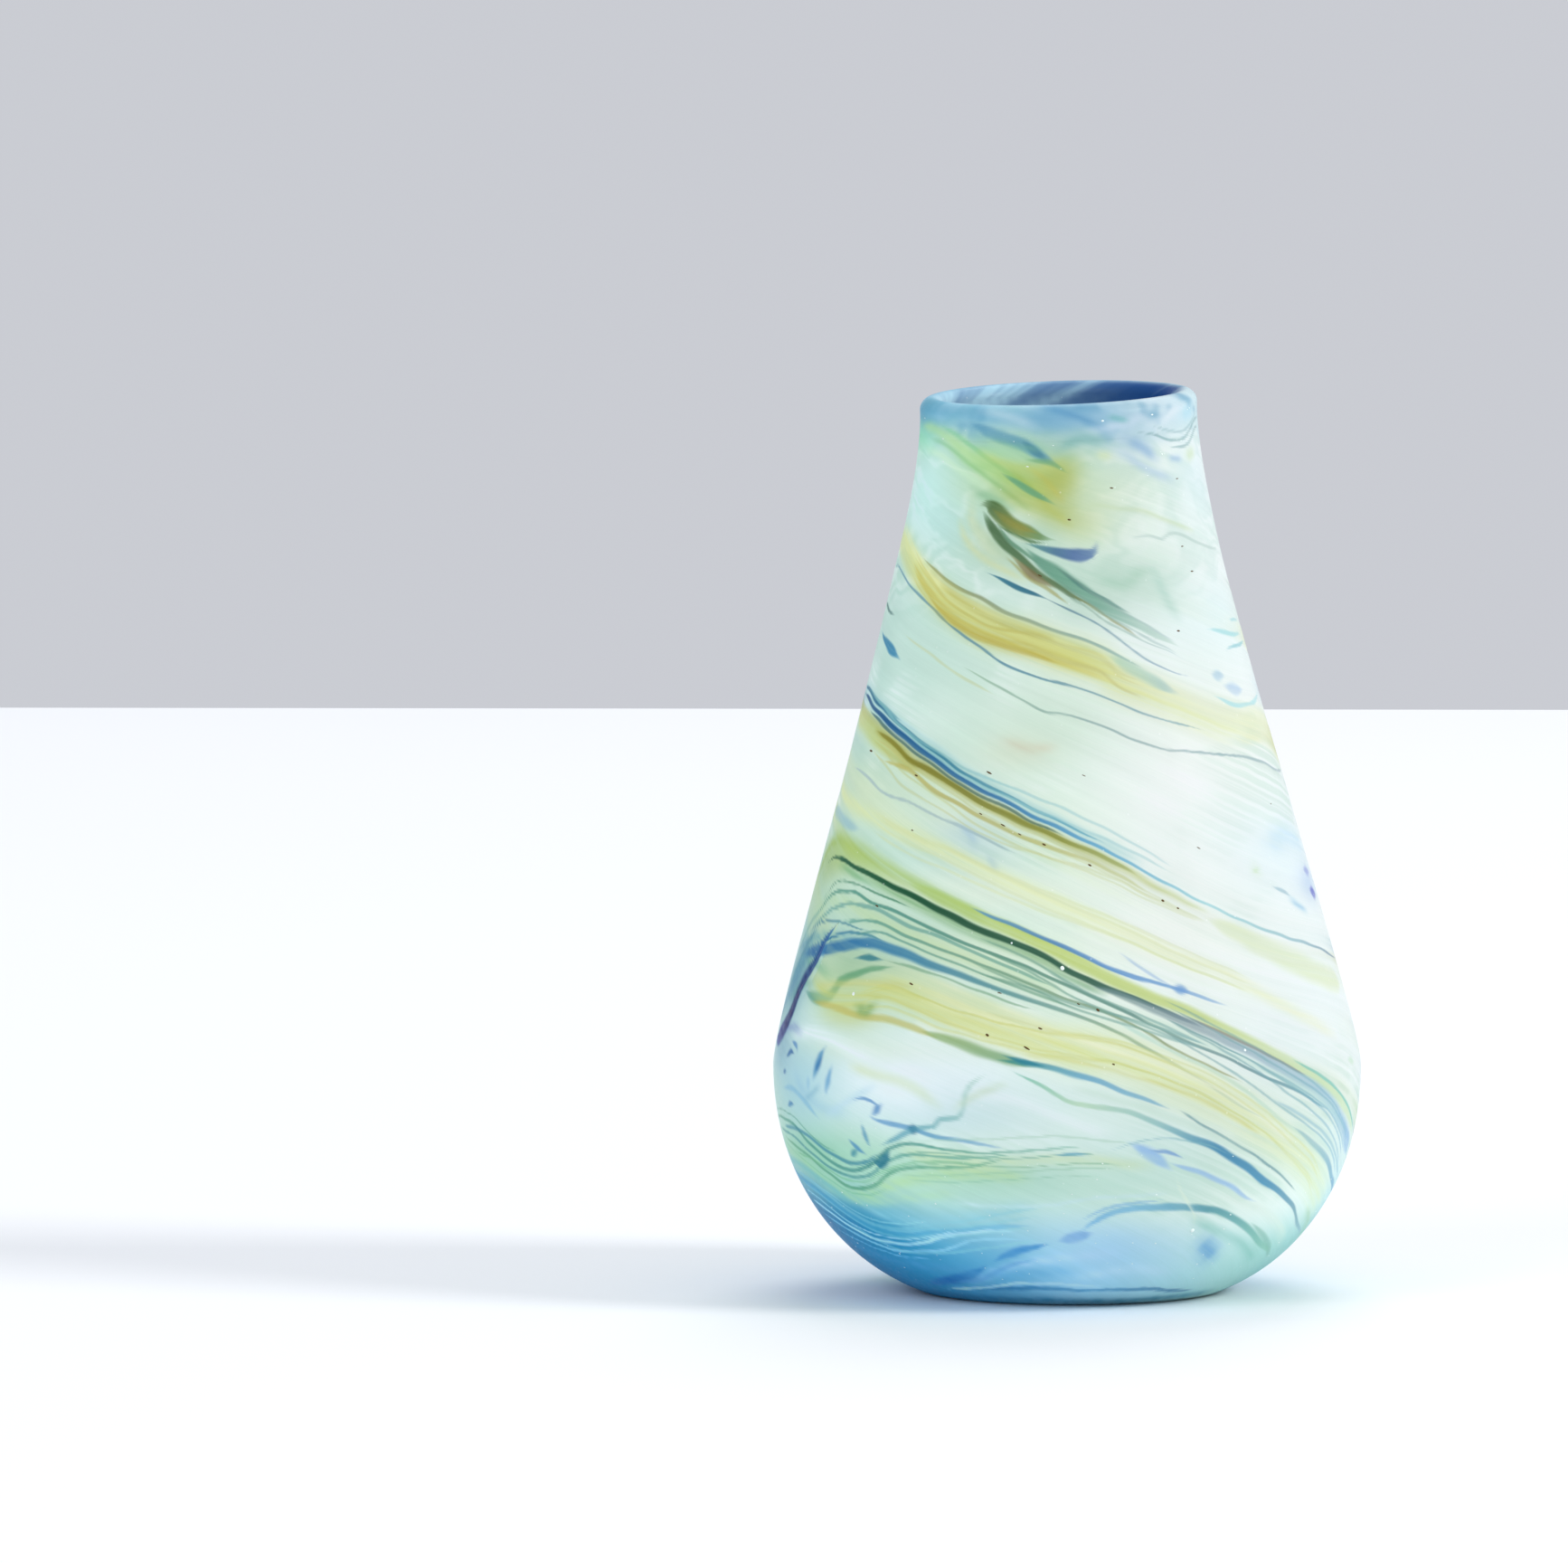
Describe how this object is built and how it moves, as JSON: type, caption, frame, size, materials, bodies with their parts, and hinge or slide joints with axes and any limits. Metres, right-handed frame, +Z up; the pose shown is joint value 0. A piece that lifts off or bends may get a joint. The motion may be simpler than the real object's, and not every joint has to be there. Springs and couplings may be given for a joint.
{
  "type": "blown glass vase",
  "caption": "Round-bellied blown glass vase with a narrow open mouth, a rounded lip, a ground foot and helical trails of coloured glass wound side by side in the wall.",
  "frame": {"origin": "centre of the foot's ground underside", "axes": "+Z up through the mouth, -Y towards the front"},
  "size_m": [0.1299, 0.13, 0.2],
  "materials": {
    "gather_glass": "satin etched, tinted blue at the lip",
    "amber_glass": "satin etched",
    "opal_glass": "satin etched",
    "yellow_glass": "satin etched",
    "teal_line_glass": "satin etched",
    "green_glass": "satin etched",
    "cream_glass": "satin etched",
    "straw_glass": "satin etched",
    "olive_glass": "satin etched",
    "cobalt_glass": "satin etched",
    "mint_glass": "satin etched",
    "hook_glass": "satin etched",
    "drip_glass": "satin etched",
    "foot_glass": "satin etched, ground flat under the foot"
  },
  "bodies": {
    "root": {"inner_gather": "gather_glass", "amber_ribbon": "amber_glass", "opal_ribbon": "opal_glass", "yellow_ribbon": "yellow_glass", "teal_fan_ribbon": "teal_line_glass", "green_ribbon": "green_glass", "cream_ribbon": "cream_glass", "straw_ribbon": "straw_glass", "olive_ribbon": "olive_glass", "cobalt_ribbon": "cobalt_glass", "mint_ribbon": "mint_glass", "hook_swirl": "hook_glass", "cobalt_drip": "drip_glass", "foot_pad": "foot_glass", "pontil_patch": "foot_glass"}
  },
  "joints": []
}
